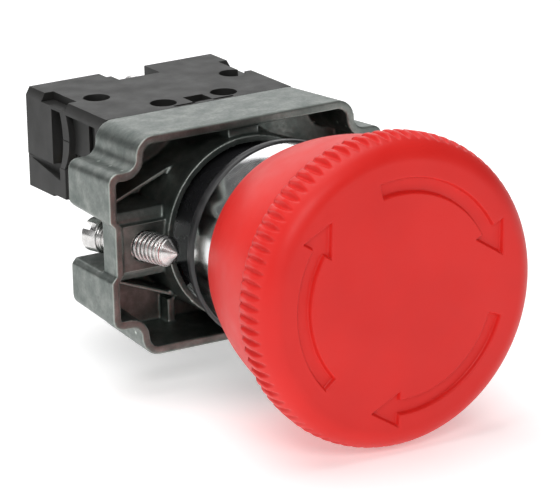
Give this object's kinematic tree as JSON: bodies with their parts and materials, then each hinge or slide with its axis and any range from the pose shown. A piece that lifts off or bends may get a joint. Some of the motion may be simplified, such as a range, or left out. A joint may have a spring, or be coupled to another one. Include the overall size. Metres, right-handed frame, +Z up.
{
  "type": "emergency stop button",
  "caption": "Panel-mount emergency stop: red knurled mushroom head that turns to release, metal bezel, die-cast fixing bracket with splayed clamp screws, normally closed contact block.",
  "frame": {"origin": "on the button's axis, in the plane of the gasket's rear face, which is the front of the panel", "axes": "+Y along the button's axis, from the mushroom into the panel; +X to the right and +Z up for a person who faces the button"},
  "size_m": [0.0412, 0.0705, 0.0406],
  "materials": {
    "red_plastic": "moulded red polyamide, satin gloss, knurled rim",
    "bezel_chrome": "bright chrome-plated bezel",
    "black_plastic": "black glass-filled polyamide",
    "black_rubber": "black nitrile rubber",
    "zinc": "die-cast zinc, tumbled, faint oxide mottling",
    "plated_steel": "zinc-plated steel, bright",
    "spring_steel": "drawn spring wire",
    "grey_plastic": "charcoal moulded housing, fine texture",
    "ivory_plastic": "natural acetal",
    "brass_strip": "rolled brass strip",
    "silver_tips": "silver alloy contact tips"
  },
  "bodies": {
    "root": {"bezel_ring": "bezel_chrome", "head_barrel": "black_plastic", "panel_gasket": "black_rubber", "stem_seal": "black_rubber", "latch_cam_sleeve": "ivory_plastic", "fixing_bracket": "zinc", "block_base": "grey_plastic", "block_cover": "grey_plastic", "block_fixing_screw": "plated_steel", "fixed_contact_left": "brass_strip", "fixed_contact_right": "brass_strip", "fixed_tips": "silver_tips", "return_spring": "spring_steel", "plunger_spring": "spring_steel"},
    "pusher": {"pusher_plate": "ivory_plastic"},
    "head": {"mushroom_cap": "red_plastic", "plunger_stem": "black_plastic", "latch_cross_pin": "plated_steel", "stem_retaining_ring": "spring_steel"},
    "carriage": {"contact_plunger": "ivory_plastic", "bridge_contact": "brass_strip", "moving_tips": "silver_tips", "contact_spring": "spring_steel"},
    "clamp_left": {"clamp_screw_left": "plated_steel"},
    "clamp_right": {"clamp_screw_right": "plated_steel"},
    "terminal_left": {"terminal_screw_left": "plated_steel", "terminal_washer_left": "plated_steel"},
    "terminal_right": {"terminal_screw_right": "plated_steel", "terminal_washer_right": "plated_steel"}
  },
  "joints": [
    {"name": "press", "type": "slide", "parent": "root", "child": "pusher", "axis": [0, 1, 0], "range_m": [0, 0.0045], "stiffness_N_per_m": 2500, "springref_m": -0.004, "deforming": ["return_spring"]},
    {"name": "turn_to_release", "type": "hinge", "parent": "pusher", "child": "head", "pos_m": [0, 0, 0], "axis": [0, 1, 0], "range_deg": [0, 40], "stiffness_Nm_per_rad": 0.15, "springref_deg": -11.46},
    {"name": "contact_travel", "type": "slide", "parent": "root", "child": "carriage", "axis": [0, 1, 0], "range_m": [0, 0.0045], "stiffness_N_per_m": 300, "springref_m": -0.002, "deforming": ["plunger_spring"]},
    {"name": "clamp_left_feed", "type": "slide", "parent": "root", "child": "clamp_left", "axis": [0.2874, -0.9578, 0], "range_m": [-0.0042, 0.0008]},
    {"name": "clamp_right_feed", "type": "slide", "parent": "root", "child": "clamp_right", "axis": [-0.2874, -0.9578, 0], "range_m": [-0.0042, 0.0008]},
    {"name": "terminal_left_lift", "type": "slide", "parent": "root", "child": "terminal_left", "axis": [0, 0, 1], "range_m": [0, 0.0018]},
    {"name": "terminal_right_lift", "type": "slide", "parent": "root", "child": "terminal_right", "axis": [0, 0, 1], "range_m": [0, 0.0018]}
  ],
  "couplings": [
    {"joint": "contact_travel", "follows": "press", "ratio": 1}
  ]
}
